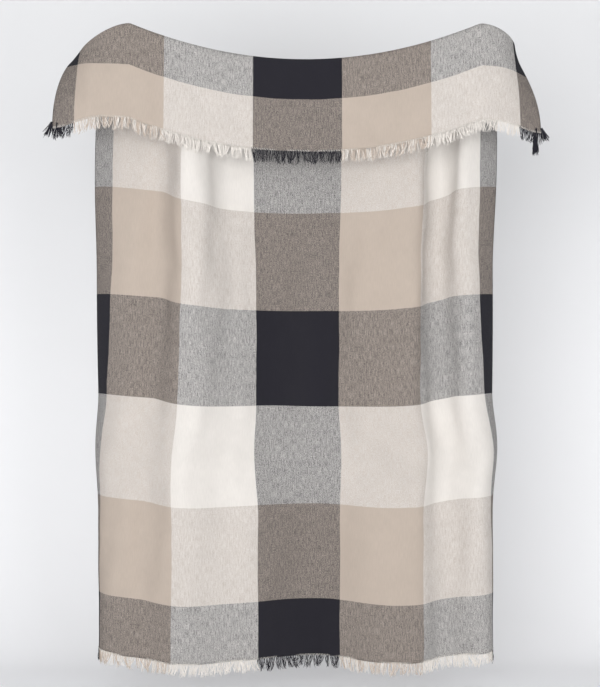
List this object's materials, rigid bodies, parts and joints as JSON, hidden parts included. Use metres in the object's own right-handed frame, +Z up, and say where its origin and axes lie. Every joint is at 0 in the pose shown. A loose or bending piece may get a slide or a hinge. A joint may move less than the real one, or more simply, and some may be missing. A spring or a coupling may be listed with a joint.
{
  "type": "folded throw blanket",
  "caption": "Plaid woven throw hung from its top fold, with a short front flap, a long drop and yarn fringe on both ends.",
  "frame": {"origin": "middle of the top fold, at the cloth's mid thickness", "axes": "+Z up, +X to the right as the flap faces the viewer, -Y out through the flap"},
  "size_m": [1.268, 0.2286, 1.68],
  "materials": {
    "black_stripe": "brushed woven cloth, black warp under the plaid's weft bands, matt with a soft nap",
    "tan_stripe": "brushed woven cloth, tan warp under the plaid's weft bands, matt with a soft nap",
    "cream_stripe": "brushed woven cloth, cream warp under the plaid's weft bands, matt with a soft nap",
    "black_yarn": "loose twisted yarn ends, black, matt",
    "tan_yarn": "loose twisted yarn ends, tan with some cream, matt",
    "cream_yarn": "loose twisted yarn ends, cream, matt",
    "stitch_thread": "fine pale overcast thread"
  },
  "bodies": {
    "drop": {"left_edge_drop": "black_stripe", "left_tan_drop": "tan_stripe", "left_cream_drop": "cream_stripe", "centre_black_drop": "black_stripe", "right_tan_drop": "tan_stripe", "right_cream_drop": "cream_stripe", "right_edge_drop": "black_stripe", "left_edge_lower_fringe": "black_yarn", "left_tan_lower_fringe": "tan_yarn", "left_cream_lower_fringe": "cream_yarn", "centre_black_lower_fringe": "black_yarn", "right_tan_lower_fringe": "tan_yarn", "right_cream_lower_fringe": "cream_yarn", "right_edge_lower_fringe": "black_yarn", "lower_hem_stitch": "stitch_thread"},
    "flap": {"left_edge_flap": "black_stripe", "left_tan_flap": "tan_stripe", "left_cream_flap": "cream_stripe", "centre_black_flap": "black_stripe", "right_tan_flap": "tan_stripe", "right_cream_flap": "cream_stripe", "right_edge_flap": "black_stripe", "left_edge_upper_fringe": "black_yarn", "left_tan_upper_fringe": "tan_yarn", "left_cream_upper_fringe": "cream_yarn", "centre_black_upper_fringe": "black_yarn", "right_tan_upper_fringe": "tan_yarn", "right_cream_upper_fringe": "cream_yarn", "right_edge_upper_fringe": "black_yarn", "upper_hem_stitch": "stitch_thread"}
  },
  "joints": [
    {"name": "flap_fold", "type": "hinge", "parent": "drop", "child": "flap", "pos_m": [0, 0, 0.093], "axis": [-1, 0, 0], "range_deg": [0, 90]}
  ]
}
